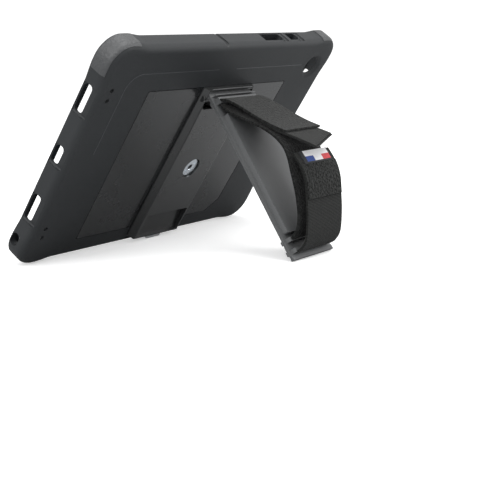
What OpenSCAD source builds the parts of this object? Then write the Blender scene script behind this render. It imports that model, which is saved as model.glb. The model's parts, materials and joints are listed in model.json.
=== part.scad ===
// Rugged case for a 10.5 inch tablet: rubber bumper, hard back, blue shock pads,
// and a kickstand leg that carries an elastic hand strap.
// The case stands on its bottom edge and on the open leg, as in use.

/* [Tablet] */
// Length of the tablet that the case holds
tablet_l = 246.8; // [240:0.1:250]
// Height of the tablet
tablet_h = 161.9; // [158:0.1:164]
// Thickness of the tablet
tablet_t = 6.9; // [6:0.1:7.5]

/* [Case] */
// Length of the case over its side rails
case_l = 256; // [254:1:262]
// Height of the case over its top and bottom rails
case_h = 175; // [173:1:181]
// Thickness from the front lip to the back
case_t = 15; // [14.5:0.5:16]
// Thickness of the back
back_t = 2.6; // [2.4:0.1:3]
// How far the corner guards stand proud of the rails
guard_out = 1.2; // [0.8:0.1:2]
// Length of a corner guard along each rail
guard_l = 24; // [20:1:30]
// Outer radius of the corners
corner_r = 15; // [12:1:18]
// Diameter of the camera hole
camera_d = 15; // [12:1:18]
// Diameter of a lanyard hole
lanyard_d = 3.4; // [3:0.2:4]

/* [Back plate] */
// Half width of the recess that holds the back plate
recess_w = 79.5; // [75:0.5:84]
// Depth of the recess below the back
recess_d = 1; // [0.8:0.1:1.4]

/* [Stand base] */
// Centre of the stand along the case
stand_u = 7.5; // [0:0.5:10]
// Height of the stand base above the back
base_h = 5.2; // [5:0.1:5.6]
// Height of the stand base along the case, from its top end down
base_v = 133.3; // [130:0.1:134]

/* [Kickstand] */
// Width of the leg
leg_w = 50.5; // [46:0.5:54]
// Length of the leg from its hinge pin to its foot
leg_l = 129; // [125:1:130]
// Thickness of the leg's plate
leg_t = 2; // [1.8:0.1:2.4]
// Angle between the open leg and the back
open_angle = 66.4; // [60:0.2:70]

/* [Strap] */
// Width of the hand strap
strap_w = 44; // [40:1:46]
// Thickness of the webbing
strap_t = 1.6; // [1.2:0.1:1.8]

/* [Hidden] */
$fn = 48;

// the case's own frame: x along it, y up it, z out of its back, the back at z = 0
front_z = -case_t;
floor_z = -back_t;
cavity_l = tablet_l + 1.2;
cavity_h = tablet_h + 1.2;
lip_t = 1.2;
lip_w = 2.2;
side_wall = (case_l - cavity_l) / 2;
rail_wall = (case_h - cavity_h) / 2;
tablet_front = front_z + lip_t;
port_z = tablet_front + tablet_t / 2;
guard_back = -2;

// recess and back plate
recess_top = 53;
recess_bottom = -72.5;
recess_cut = 11;
plate_gap = 0.5;
plate_t = recess_d - 0.1;

// stand base
base_top = recess_top - 0.2;
base_bottom = base_top - base_v;
draft = 2.9;
base_half = leg_w / 2 + 0.5 + draft;
housing_top = -57;
base_low = 0.02 - recess_d + plate_t;
pocket_low = 37;
pocket_high = 52.1;
screw_u = 15;
screw_v = [24, -44];
tab_half = 8;
tab_travel = 1.5;
magnet_v = -17;
magnet_r = 7.5;
magnet_t = 1.2;

// hinge
hinge_v = 45;
hinge_w = 2.4;
pin_r = 1;
pin_gap = 0.05;
barrel_r = 2.2;
heel = 3.9;

// leg, modelled closed: x along the case, y from the hinge, z out of the back
plate_low = base_h - hinge_w + 0.3;
plate_high = plate_low + leg_t;
rim = 3.6;
panel_from = 17;
panel_to = 110;
slot_top = [4.4, 8.8];
slot_inner = [113.2, 116.2];
slot_outer = [121.2, 124.4];
slot_w = strap_w + 1;
keeper_r = 7;
foot_from = leg_l - 3.6;

// the strap's middle line, as distance from the hinge and height off the leg
lower_path = [[114.7, 4], [115.4, 2], [117.4, 1.4], [120.2, 1.4], [122, 2],
              [122.6, 4], [123.8, 8.4], [123.6, 13], [119.8, 19.8], [108, 28.4], [96, 35.2],
              [86, 40], [76, 41.8], [66.5, 41.2]];
inner_path = [[114.6, 4.2], [114.2, 9], [110.6, 16.4], [103, 22.6], [90, 28.6], [76, 33],
              [66, 36], [57, 36.4], [46, 32.4], [32, 23], [20, 13], [12.6, 8.4], [8.6, 6.8], [7.4, 4.2]];
upper_path = [[5.4, 4.2], [5.6, 7.4], [7.6, 11.6], [11.5, 15.6], [19, 21], [33, 30], [43, 37.2], [51, 44]];
end_path = [[35, 29], [45, 36.2], [51, 41], [57, 46.4], [63, 51.6], [68, 55.8], [72.5, 59.4]];

// lean of the case on its open leg: both feet lie on one level
guard_foot_v = -case_h / 2 - guard_out;
foot_v = hinge_v - leg_l * cos(open_angle) + plate_low * sin(open_angle);
foot_w = hinge_w + leg_l * sin(open_angle) + plate_low * cos(open_angle);
lean = atan2(foot_v - guard_foot_v, foot_w - guard_back);
case_z = -(cos(lean) * guard_foot_v - sin(lean) * guard_back);
case_y = 27.312;

function normal_at(p, i) =
    let (a = p[max(i - 1, 0)], b = p[min(i + 1, len(p) - 1)], d = b - a)
    [-d[1], d[0]] / norm(d);
function curve(p, steps) = [
    for (i = [0 : len(p) - 2]) for (k = [0 : steps - 1])
        let (a = p[max(i - 1, 0)], b = p[i], c = p[i + 1], d = p[min(i + 2, len(p) - 1)], t = k / steps)
        0.5 * (2 * b + (c - a) * t + (2 * a - 5 * b + 4 * c - d) * t * t
               + (3 * b - a - 3 * c + d) * t * t * t),
    p[len(p) - 1]
];
function raised(p, from, to, d) = [
    for (i = [0 : len(p) - 1]) if (p[i][0] > from && p[i][0] < to && p[i][1] > 20) p[i] - normal_at(p, i) * d
];
function ribbon(p, t) = concat(
    [for (i = [0 : len(p) - 1]) p[i] + normal_at(p, i) * t / 2],
    [for (i = [len(p) - 1 : -1 : 0]) p[i] - normal_at(p, i) * t / 2]
);

module case_frame() {
    translate([0, case_y, case_z]) rotate([90 + lean, 0, 0]) children();
}
module leg_place() {
    case_frame() translate([0, hinge_v, hinge_w]) rotate([-open_angle, 0, 0]) children();
}
// a block given by its two ends along each axis
module slab(x0, x1, y0, y1, z0, z1) {
    translate([x0, y0, z0]) cube([x1 - x0, y1 - y0, z1 - z0]);
}
// a plate with round corners, centred
module rounded(l, h, r, z0, z1) {
    translate([0, 0, z0]) linear_extrude(z1 - z0) {
        square([l - 2 * r, h], center = true);
        square([l, h - 2 * r], center = true);
        for (x = [-1, 1]) for (y = [-1, 1])
            translate([x * (l / 2 - r), y * (h / 2 - r)]) circle(r);
    }
}
// webbing that runs along the leg, with its width across it
module band(path, t, w) {
    outline = [for (q = ribbon(curve(path, 4), t)) [-q[0], q[1]]];
    translate([stand_u - w / 2, 0, 0]) rotate([90, 0, 90]) linear_extrude(w) polygon(outline);
}
// a window through a wall that runs along x: round ended, centred on the ports
module window_x(x, length, height, y) {
    r = height / 2;
    translate([x, y, port_z]) rotate([90, 0, 0]) for (k = [-1, 1])
        translate([k * (length / 2 - r), 0, 0]) cylinder(r = r, h = 30, center = true);
    translate([x, y, port_z]) cube([length - height, 30, height], center = true);
}
module window_y(y, length, height, x) {
    r = height / 2;
    translate([x, y, port_z]) rotate([0, 90, 0]) for (k = [-1, 1])
        translate([0, k * (length / 2 - r), 0]) cylinder(r = r, h = 30, center = true);
    translate([x, y, port_z]) cube([30, length - height, height], center = true);
}

// ---- back ----
camera_u = 107;
camera_v = 65;
lanyard_u = -116.5;
lanyard_v = [55.5, 48, -56, -63.5];
module recess_outline(gap) {
    // the lower right corner is cut off square to the diagonal
    w = recess_w - gap;
    low = recess_bottom + gap;
    high = recess_top - gap;
    polygon([[-w, low], [w - recess_cut, low], [w, low + recess_cut], [w, high], [-w, high]]);
}
module back_shell() {
    color([0.17, 0.18, 0.19]) case_frame() difference() {
        union() {
            rounded(case_l, case_h, corner_r, floor_z, -1.4);
            rounded(case_l - 2.4, case_h - 2.4, corner_r - 1.2, -1.4, 0);
        }
        translate([0, 0, -recess_d]) linear_extrude(5) recess_outline(0);
        translate([camera_u, camera_v, floor_z - 1]) cylinder(d = camera_d, h = back_t + 2);
        translate([camera_u, camera_v, -1.5]) cylinder(d1 = camera_d, d2 = camera_d + 5, h = 1.51);
        for (v = lanyard_v) translate([lanyard_u, v, floor_z - 1]) cylinder(d = lanyard_d, h = back_t + 2);
        for (v = screw_v) for (k = [-1, 1])
            translate([stand_u + k * screw_u, v, floor_z - 1]) cylinder(r = 1.3, h = back_t + 2);
    }
}

// ---- rails: the wall beside the tablet and the lip over its edge ----
module rail_profile(wall) {
    // x outwards from the cavity, y from the front to the back shell
    polygon([[-lip_w, front_z + 0.3], [-lip_w + 0.3, front_z], [wall - 2.2, front_z], [wall - 0.8, front_z + 0.5],
             [wall, front_z + 2], [wall, floor_z], [0, floor_z], [0, tablet_front], [-lip_w, tablet_front]]);
}
module rail_along_x(length, side) {
    mirror([0, side < 0 ? 1 : 0, 0]) translate([-length / 2, cavity_h / 2, 0])
        rotate([90, 0, 90]) linear_extrude(length) rail_profile(rail_wall);
}
module rail_along_y(length, side) {
    mirror([side < 0 ? 1 : 0, 0, 0]) translate([cavity_l / 2, length / 2, 0])
        rotate([90, 0, 0]) linear_extrude(length) rail_profile(side_wall);
}
rail_x_l = case_l - 2 * guard_l;
rail_y_l = case_h - 2 * guard_l;
button_long = [46.8, 27.4];
button_short = [73.6, 15.6];
mic_u = -17;
window_h = 6.8;
usb_l = 13.8;
speaker_v = 43.6;
speaker_l = 21;
module rail_top() {
    color([0.17, 0.18, 0.19]) case_frame() difference() {
        rail_along_x(rail_x_l, 1);
        window_x(button_long[0], button_long[1], window_h, case_h / 2);
        window_x(button_short[0], button_short[1], window_h, case_h / 2);
        translate([mic_u, case_h / 2, port_z]) rotate([90, 0, 0]) cylinder(r = 1.4, h = 30, center = true);
    }
}
module rail_bottom() {
    color([0.17, 0.18, 0.19]) case_frame() rail_along_x(rail_x_l, -1);
}
module rail_left() {
    color([0.17, 0.18, 0.19]) case_frame() difference() {
        rail_along_y(rail_y_l, -1);
        window_y(0, usb_l, window_h, -case_l / 2);
        for (k = [-1, 1]) window_y(k * speaker_v, speaker_l, window_h, -case_l / 2);
    }
}
module rail_right() {
    color([0.17, 0.18, 0.19]) case_frame() difference() {
        rail_along_y(rail_y_l, 1);
        for (k = [-1, 1]) window_y(k * speaker_v, speaker_l, window_h, case_l / 2);
    }
}

// ---- corner guards: thick rounded corners that meet the rails end to end ----
module corner_guard(sx, sy) {
    out = guard_out;
    l = case_l + 2 * out;
    h = case_h + 2 * out;
    difference() {
        intersection() {
            union() {
                rounded(l, h, corner_r + out, front_z + 1.4, floor_z);
                rounded(l - 2.4, h - 2.4, corner_r + out - 1.2, front_z, front_z + 1.41);
            }
            translate([sx * (case_l / 2 - guard_l + 50), sy * (case_h / 2 - guard_l + 50), 0])
                cube([100, 100, 100], center = true);
        }
        rounded(cavity_l, cavity_h, 7, tablet_front, 1);
        rounded(cavity_l - 2 * lip_w, cavity_h - 2 * lip_w, 5, front_z - 1, 1);
    }
}
module corner_lip(sx, sy) {
    // the guard's rim beside the back shell, outside the shell's own edge
    difference() {
        intersection() {
            rounded(case_l + 2 * guard_out, case_h + 2 * guard_out, corner_r + guard_out, floor_z, guard_back);
            translate([sx * (case_l / 2 - guard_l + 50), sy * (case_h / 2 - guard_l + 50), 0])
                cube([100, 100, 100], center = true);
        }
        rounded(case_l, case_h, corner_r, floor_z - 1, 1);
    }
}
module guard_at(sx, sy) {
    color([0.13, 0.14, 0.15]) case_frame() {
        corner_guard(sx, sy);
        corner_lip(sx, sy);
    }
}
jack_v = -70.5;
module corner_guard_top_left() guard_at(-1, 1);
module corner_guard_top_right() guard_at(1, 1);
module corner_guard_bottom_left() {
    color([0.13, 0.14, 0.15]) case_frame() difference() {
        union() {
            corner_guard(-1, -1);
            corner_lip(-1, -1);
        }
        window_y(jack_v, 9.5, window_h, -case_l / 2);
    }
}
module corner_guard_bottom_right() guard_at(1, -1);

// ---- hard back plate in the recess; the stand base is screwed down over it ----
module back_plate() {
    color([0.07, 0.075, 0.08]) case_frame() difference() {
        translate([0, 0, -recess_d]) linear_extrude(plate_t) recess_outline(plate_gap);
        for (v = screw_v) for (k = [-1, 1])
            translate([stand_u + k * screw_u, v, -recess_d - 1]) cylinder(r = 1.3, h = 5);
    }
}

// ---- stand base: a hard block with sloping sides, a hinge pocket and a magnet seat ----
module base_block(v0, v1, z0) {
    // sloping sides, from the wide foot to the narrower top
    half = base_half;
    translate([stand_u, v1, 0]) rotate([90, 0, 0]) linear_extrude(v1 - v0)
        polygon([[-half, z0], [half, z0], [half, 0.8], [half - draft, base_h],
                 [-half + draft, base_h], [-half, 0.8]]);
}
module stand_base() {
    color([0.09, 0.095, 0.1]) case_frame() difference() {
        union() {
            difference() {
                base_block(housing_top, base_top, base_low);
                // hinge pocket, open towards the leg
                slab(stand_u - leg_w / 2 - 0.3, stand_u + leg_w / 2 + 0.3, pocket_low, pocket_high,
                     -10, 10);
                // the sloping sides stand upright round the pin
                for (k = [-1, 1]) translate([stand_u + k * (base_half + 4), hinge_v, hinge_w])
                    rotate([0, 90, 0]) cylinder(r = 2.4, h = 8.8, center = true);
            }
            for (k = [-1, 1]) translate([stand_u + k * (leg_w / 2 + 1.55), hinge_v, hinge_w])
                rotate([0, 90, 0]) cylinder(r = 2.4, h = 2.3, center = true);
        }
        translate([stand_u, hinge_v, hinge_w]) rotate([0, 90, 0])
            cylinder(r = pin_r + 0.01, h = 80, center = true);
        translate([stand_u, magnet_v, base_h - 2.6]) cylinder(r = magnet_r + 0.7, h = 5);
        translate([stand_u, magnet_v, 0]) cylinder(r = 1.05, h = 5);
        for (v = screw_v) for (k = [-1, 1])
            translate([stand_u + k * screw_u, v, base_low - 1]) cylinder(r = 0.9, h = 4.6);
    }
}
module base_screws() {
    color([0.6, 0.61, 0.62]) case_frame() for (v = screw_v) for (k = [-1, 1])
        translate([stand_u + k * screw_u, v, floor_z]) {
            translate([0, 0, -0.5]) cylinder(r = 2.4, h = 0.5);
            translate([0, 0, -0.1]) cylinder(r = 0.89, h = 5.6);
        }
}
module latch_housing() {
    // lower end of the base: a ramped pocket for the strap's turn, a notch for the latch
    color([0.09, 0.095, 0.1]) case_frame() difference() {
        base_block(base_bottom, housing_top - 0.15, base_low);
        slab(-100, 100, recess_bottom - 50, recess_bottom + 0.2, -5, 0.02);
        translate([stand_u - strap_w / 2 - 0.8, 0, 0]) rotate([90, 0, 90]) linear_extrude(strap_w + 2.8)
            polygon([[housing_top - 1.6, 0.9], [base_bottom + 1.2, 2.9], [base_bottom + 1.2, 9],
                     [housing_top - 1.6, 9]]);
        slab(stand_u - tab_half - 0.3, stand_u + tab_half + 0.3, base_bottom - 1, base_bottom + 6.3, 0.3, 2.1);
    }
}
module closure_magnet() {
    color([0.85, 0.86, 0.87]) case_frame() translate([stand_u, magnet_v, base_h - 2.6]) difference() {
        cylinder(r = magnet_r, h = magnet_t);
        translate([0, 0, -1]) cylinder(r = 1.3, h = 5);
        translate([0, 0, magnet_t - 0.7]) cylinder(r = 2.4, h = 2);
        for (a = [45, 225]) rotate(a) translate([4.6, 0, magnet_t - 0.6]) cylinder(r = 0.8, h = 2);
    }
}
module magnet_screw() {
    color([0.1, 0.1, 0.11]) case_frame() translate([stand_u, magnet_v, base_h - 2.6]) difference() {
        union() {
            translate([0, 0, -2.4]) cylinder(r = 1.04, h = 3);
            translate([0, 0, magnet_t - 0.69]) cylinder(r = 2.1, h = 0.6);
        }
        translate([0, 0, magnet_t - 0.4]) cylinder(r = 0.9, h = 1, $fn = 6);
    }
}
module hinge_pin() {
    color([0.72, 0.73, 0.74]) case_frame() translate([stand_u, hinge_v, hinge_w])
        rotate([0, 90, 0]) cylinder(r = pin_r, h = leg_w + 5, center = true);
}

// ---- inside: grey tray, dark liner panels and blue shock pads ----
tray_t = 0.6;
tray_z = floor_z - tray_t;
liner_t = 0.8;
window_c = [-1, 3.5];
window_half = 26;
pad_u = 67;
pad_v = 38.8;
pad_c = [-1, 1];
pad_h = tray_z - (tablet_front + tablet_t);
module inner_tray() {
    color([0.36, 0.37, 0.38]) case_frame() difference() {
        rounded(cavity_l - 1, cavity_h - 1, 7, tray_z, floor_z - 0.02);
        translate([camera_u, camera_v, tray_z - 1]) cylinder(d = camera_d + 3, h = 5);
        for (v = lanyard_v) translate([lanyard_u, v, tray_z - 1]) cylinder(d = lanyard_d + 2, h = 5);
        for (v = screw_v) for (k = [-1, 1])
            translate([stand_u + k * screw_u, v, tray_z - 1]) cylinder(r = 2.6, h = 5);
    }
}
module pad_clear(grow) {
    for (x = [-1, 1]) for (y = [-1, 1])
        translate([pad_c[0] + x * pad_u, pad_c[1] + y * pad_v, -20]) rotate(atan2(y * pad_v, x * pad_u))
            cylinder(r = 17 + grow, h = 30);
}
module tray_window() {
    color([0.42, 0.43, 0.44]) case_frame() translate([window_c[0], window_c[1], 0])
        rounded(2 * window_half, 2 * window_half, 4, tray_z - liner_t, tray_z - 0.02);
}
module liner_centre() {
    color([0.1, 0.1, 0.11]) case_frame() difference() {
        slab(-58, 58, -34, 38, tray_z - liner_t, tray_z - 0.02);
        translate([window_c[0], window_c[1], 0])
            rounded(2 * window_half + 0.6, 2 * window_half + 0.6, 4.3, tray_z - 5, 1);
        pad_clear(1);
    }
}
module liner_panel(points) {
    color([0.1, 0.1, 0.11]) case_frame() difference() {
        translate([0, 0, tray_z - liner_t]) linear_extrude(liner_t - 0.02) polygon(points);
        pad_clear(1);
        translate([camera_u, camera_v, -20]) cylinder(d = camera_d + 5, h = 30);
        for (v = lanyard_v) translate([lanyard_u, v, -20]) cylinder(d = lanyard_d + 3, h = 30);
    }
}
liner_x = 112;
liner_y = 74;
module liner_top() liner_panel([[-54, 44], [54, 44], [84, liner_y], [-84, liner_y]]);
module liner_bottom() liner_panel([[-54, -40], [54, -40], [84, -liner_y], [-84, -liner_y]]);
module liner_left() liner_panel([[-84, 24], [-84, -22], [-liner_x, -58], [-liner_x, 60]]);
module liner_right() liner_panel([[84, 24], [84, -22], [liner_x, -58], [liner_x, 46], [100, 46]]);

// a three lobed pad: a triangle with its corners cut square and its sides dished
module shock_pad(x, y) {
    a = atan2(y * pad_v, x * pad_u);
    color([0.16, 0.5, 0.86]) case_frame()
        translate([pad_c[0] + x * pad_u, pad_c[1] + y * pad_v, tray_z - pad_h]) rotate(a)
        difference() {
            linear_extrude(pad_h - 0.05) polygon([for (k = [0 : 2]) for (e = [-1, 1])
                [16.5 * cos(120 * k + e * 21), 16.5 * sin(120 * k + e * 21)]]);
            for (k = [0 : 2]) rotate(120 * k + 60) translate([34, 0, -1]) cylinder(r = 25, h = 9);
        }
}
module shock_pad_top_left() shock_pad(-1, 1);
module shock_pad_top_right() shock_pad(1, 1);
module shock_pad_bottom_left() shock_pad(-1, -1);
module shock_pad_bottom_right() shock_pad(1, -1);

// ---- kickstand leg ----
module leg_frame() {
    half = leg_w / 2;
    color([0.2, 0.205, 0.21]) leg_place() translate([stand_u, 0, 0]) difference() {
        union() {
            slab(-half, half, -foot_from, heel, plate_low, plate_high);
            rotate([0, 90, 0]) cylinder(r = barrel_r, h = leg_w, center = true);
            slab(-half, half, -1.6, 1.6, 0, plate_low + 0.1);
        }
        rotate([0, 90, 0]) cylinder(r = pin_r + pin_gap, h = leg_w + 2, center = true);
        for (s = [slot_top, slot_inner, slot_outer])
            slab(-slot_w / 2, slot_w / 2, -s[1], -s[0], -10, 10);
        slab(-half + rim, half - rim, -panel_to, -panel_from, plate_low + 0.7, plate_high + 1);
        translate([0, magnet_v - hinge_v, plate_low - 1]) cylinder(r = keeper_r + 0.05, h = 3);
    }
}
module leg_panel() {
    half = leg_w / 2 - rim - 0.15;
    color([0.08, 0.085, 0.09]) leg_place() translate([stand_u, 0, 0])
        slab(-half, half, -panel_to + 0.15, -panel_from - 0.15, plate_low + 0.72, plate_high - 0.3);
}
module keeper_plate() {
    color([0.6, 0.61, 0.62]) leg_place() translate([stand_u, magnet_v - hinge_v, plate_low])
        cylinder(r = keeper_r, h = 0.7);
}
module foot_bar() {
    half = leg_w / 2;
    color([0.3, 0.31, 0.32]) leg_place() translate([stand_u - half, 0, 0]) rotate([90, 0, 90])
        linear_extrude(leg_w) polygon([[-foot_from, plate_low], [-leg_l, plate_low],
            [-leg_l + 0.2, plate_high + 0.3], [-leg_l + 1.2, plate_high + 0.8], [-foot_from, plate_high + 0.8]]);
}

// ---- hand strap ----
module strap_lower() {
    color([0.08, 0.08, 0.085]) leg_place() band(lower_path, strap_t, strap_w);
}
module strap_inner() {
    color([0.07, 0.07, 0.075]) leg_place() band(inner_path, strap_t, strap_w - 1);
}
module strap_upper() {
    color([0.09, 0.09, 0.095]) leg_place() band(upper_path, strap_t, strap_w);
}
module strap_end() {
    // plain end of the webbing, cut on a slant
    color([0.08, 0.08, 0.085]) leg_place() difference() {
        band(end_path, strap_t, strap_w - 2);
        translate([stand_u + strap_w / 2, -60, 0]) rotate([0, 0, 20])
            translate([-60, -50, 0]) cube([120, 50, 100]);
    }
}
patch_t = 0.6;
tag_t = 0.8;
module strap_patch() {
    color([0.11, 0.11, 0.115]) leg_place()
        band(raised(curve(lower_path, 4), 77, 98, strap_t / 2 + patch_t / 2 + 0.05), patch_t, strap_w - 1);
}
module strap_tag() {
    color([0.85, 0.85, 0.86]) leg_place()
        band(raised(curve(lower_path, 4), 65, 76.2, strap_t / 2 + tag_t / 2 + 0.05), tag_t, strap_w - 12);
}

// ---- latch ----
module latch_tab() {
    // a tongue in the notch and a thumb lip across the end of the base
    color([0.25, 0.26, 0.27]) case_frame() {
        difference() {
            union() {
                slab(stand_u - tab_half, stand_u + tab_half, base_bottom - 3.5, base_bottom + 4.6, 0.5, 1.9);
                slab(stand_u - tab_half, stand_u + tab_half, base_bottom - 3.5, base_bottom - tab_travel - 0.3,
                     0.5, 4.4);
            }
            translate([stand_u, base_bottom - 3.5, 4.4]) rotate([45, 0, 0]) cube([40, 1.4, 1.4], center = true);
        }
    }
}

back_shell();
rail_top();
rail_bottom();
rail_left();
rail_right();
corner_guard_top_left();
corner_guard_top_right();
corner_guard_bottom_left();
corner_guard_bottom_right();
back_plate();
stand_base();
latch_housing();
base_screws();
closure_magnet();
magnet_screw();
hinge_pin();
inner_tray();
tray_window();
liner_centre();
liner_top();
liner_bottom();
liner_left();
liner_right();
shock_pad_top_left();
shock_pad_top_right();
shock_pad_bottom_left();
shock_pad_bottom_right();
leg_frame();
leg_panel();
keeper_plate();
foot_bar();
strap_lower();
strap_inner();
strap_upper();
strap_end();
strap_patch();
strap_tag();
latch_tab();
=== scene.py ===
import json
import math
import bmesh
import bpy
from mathutils import Matrix, Vector

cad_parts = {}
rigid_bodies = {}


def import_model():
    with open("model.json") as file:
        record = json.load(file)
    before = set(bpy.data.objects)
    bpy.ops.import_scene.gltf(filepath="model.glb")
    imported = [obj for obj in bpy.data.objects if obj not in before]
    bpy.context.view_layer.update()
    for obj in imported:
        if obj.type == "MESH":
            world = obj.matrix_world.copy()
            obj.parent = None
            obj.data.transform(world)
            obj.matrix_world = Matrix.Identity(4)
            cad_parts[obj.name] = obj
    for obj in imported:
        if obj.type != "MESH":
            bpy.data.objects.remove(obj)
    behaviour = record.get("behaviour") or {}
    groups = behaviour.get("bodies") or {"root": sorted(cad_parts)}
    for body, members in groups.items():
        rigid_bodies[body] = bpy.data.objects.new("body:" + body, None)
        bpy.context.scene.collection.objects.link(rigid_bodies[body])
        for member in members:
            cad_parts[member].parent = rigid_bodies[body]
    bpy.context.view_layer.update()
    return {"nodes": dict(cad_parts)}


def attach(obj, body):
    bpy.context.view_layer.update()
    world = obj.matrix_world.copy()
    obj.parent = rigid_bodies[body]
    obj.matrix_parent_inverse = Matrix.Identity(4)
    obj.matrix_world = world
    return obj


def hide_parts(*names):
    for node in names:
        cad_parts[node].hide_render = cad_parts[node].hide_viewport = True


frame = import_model()

# ---- Camera, floor and studio light ----
# A long lens behind the case and to its left, a little above it, with the case
# standing on a pale sweep of card under three soft boxes.
camera_yaw, camera_tilt, camera_roll = (math.radians(a) for a in (-54.746, 79.091, -0.865))
turn = Matrix.Rotation(camera_yaw, 4, "Z") @ Matrix.Rotation(camera_tilt, 4, "X")
bpy.ops.object.camera_add()
camera = bpy.context.object
camera.name = "studio_camera"
camera.matrix_world = (Matrix.Translation((-0.6475, -0.4820, 0.1536)) @ turn
                       @ Matrix.Rotation(camera_roll, 4, "Z"))
camera.data.lens = 82.1
camera.data.sensor_width = 36.0
camera.data.clip_start = 0.01
bpy.context.scene.camera = camera

bpy.ops.object.select_all(action="DESELECT")
bpy.ops.mesh.primitive_plane_add(size=1, location=(0, 0, 0))
floor = bpy.context.object
floor.name = "studio_floor"
bpy.ops.object.mode_set(mode="EDIT")
bpy.ops.transform.resize(value=(40, 40, 1))
bpy.ops.object.mode_set(mode="OBJECT")
card = bpy.data.materials.new("floor_card")
card.use_nodes = True
nodes, links = card.node_tree.nodes, card.node_tree.links
where = nodes.new("ShaderNodeTexCoord")
fibre = nodes.new("ShaderNodeTexNoise")
fibre.inputs["Scale"].default_value = 90
tone = nodes.new("ShaderNodeValToRGB")
tone.color_ramp.elements[0].color = (0.86, 0.865, 0.87, 1)
tone.color_ramp.elements[1].color = (0.89, 0.89, 0.89, 1)
links.new(where.outputs["Object"], fibre.inputs["Vector"])
links.new(fibre.outputs["Fac"], tone.inputs["Fac"])
# seen directly the card is washed out by its own backlight; it throws less light back up
seen = nodes.new("ShaderNodeLightPath")
bounce = nodes.new("ShaderNodeMix")
bounce.data_type = "RGBA"
bounce.inputs["A"].default_value = (0.40, 0.405, 0.41, 1)
links.new(seen.outputs["Is Camera Ray"], bounce.inputs["Factor"])
links.new(tone.outputs["Color"], bounce.inputs["B"])
links.new(bounce.outputs["Result"], nodes["Principled BSDF"].inputs["Base Color"])
backlight = nodes.new("ShaderNodeMath")
backlight.operation = "MULTIPLY"
backlight.inputs[1].default_value = 0.4
links.new(seen.outputs["Is Camera Ray"], backlight.inputs[0])
links.new(backlight.outputs["Value"], nodes["Principled BSDF"].inputs["Emission Strength"])
nodes["Principled BSDF"].inputs["Emission Color"].default_value = (1, 1, 1, 1)
nodes["Principled BSDF"].inputs["Roughness"].default_value = 0.9
floor.data.materials.append(card)

world = bpy.data.worlds.new("studio_air")
bpy.context.scene.world = world
world.use_nodes = True
world.node_tree.nodes["Background"].inputs["Color"].default_value = (1, 1, 1, 1)
# the air looks whiter to the camera than it lights the case
air_light, air_seen = 0.85, 1.15
nodes, links = world.node_tree.nodes, world.node_tree.links
seen = nodes.new("ShaderNodeLightPath")
air = nodes.new("ShaderNodeMapRange")
air.inputs["To Min"].default_value = air_light
air.inputs["To Max"].default_value = air_seen
links.new(seen.outputs["Is Camera Ray"], air.inputs["Value"])
links.new(air.outputs["Result"], nodes["Background"].inputs["Strength"])
bpy.context.scene.view_settings.view_transform = "Standard"
for name, spot, size, power in (("box_left", (-1.5, -0.3, 0.9), (1.0, 1.4), 16),
                                ("box_top", (0.1, -0.5, 1.7), (1.6, 1.2), 20),
                                ("box_right", (0.9, -1.3, 0.6), (0.6, 1.2), 8)):
    bpy.ops.object.light_add(type="AREA", location=spot)
    lamp = bpy.context.object
    lamp.name = name
    lamp.data.shape = "RECTANGLE"
    lamp.data.size, lamp.data.size_y = size
    lamp.data.energy = power
    lamp.rotation_euler = (Vector((0, 0, 0.08)) - lamp.location).to_track_quat("-Z", "Y").to_euler()

# ---- Rubber bumper ----
# One moulding in soft graphite rubber, in a single shot: back, rails and corner
# guards, with a lip over the tablet's edge. Everything else is fixed to it.
lean = math.radians(34.42914)
case_y, case_z = 27.312, 72.0313
stand_u = 7.5
hinge_v, hinge_w, open_angle = 45.0, 2.4, math.radians(66.4)
on_case = (Matrix.Scale(0.001, 4) @ Matrix.Translation((0, case_y, case_z))
           @ Matrix.Rotation(math.radians(90) + lean, 4, "X"))
on_leg = on_case @ Matrix.Translation((0, hinge_v, hinge_w)) @ Matrix.Rotation(-open_angle, 4, "X")


def clear_bench():
    if bpy.context.mode != "OBJECT":
        bpy.ops.object.mode_set(mode="OBJECT")
    bpy.ops.object.select_all(action="DESELECT")


def begin(name, x0, x1, y0, y1, z0, z1):
    # a block on the bench, in millimetres, ready to be shaped
    clear_bench()
    bpy.ops.mesh.primitive_cube_add(size=1, location=((x0 + x1) / 2, (y0 + y1) / 2, (z0 + z1) / 2))
    piece = bpy.context.object
    piece.name = piece.data.name = name
    bpy.ops.object.mode_set(mode="EDIT")
    bpy.ops.transform.resize(value=(x1 - x0, y1 - y0, z1 - z0))
    return piece


def begin_rod(name, middle, radius, depth, axis="Z", sides=48):
    clear_bench()
    turned = {"X": (0, math.pi / 2, 0), "Y": (math.pi / 2, 0, 0), "Z": (0, 0, 0)}[axis]
    bpy.ops.mesh.primitive_cylinder_add(vertices=sides, radius=radius, depth=depth,
                                        location=middle, rotation=turned)
    piece = bpy.context.object
    piece.name = piece.data.name = name
    bpy.ops.object.mode_set(mode="EDIT")
    return piece


def pick_faces(piece, wanted):
    bpy.ops.mesh.select_mode(type="FACE")
    bpy.ops.mesh.select_all(action="DESELECT")
    shell = bmesh.from_edit_mesh(piece.data)
    here = piece.matrix_world
    for face in shell.faces:
        if wanted(here @ face.calc_center_median(), (here.to_3x3() @ face.normal).normalized()):
            face.select_set(True)
    bmesh.update_edit_mesh(piece.data)


def pick_edges(piece, wanted):
    bpy.ops.mesh.select_mode(type="EDGE")
    bpy.ops.mesh.select_all(action="DESELECT")
    shell = bmesh.from_edit_mesh(piece.data)
    here = piece.matrix_world
    for edge in shell.edges:
        if wanted(here @ edge.verts[0].co, here @ edge.verts[1].co):
            edge.select_set(True)
    bmesh.update_edit_mesh(piece.data)


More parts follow.
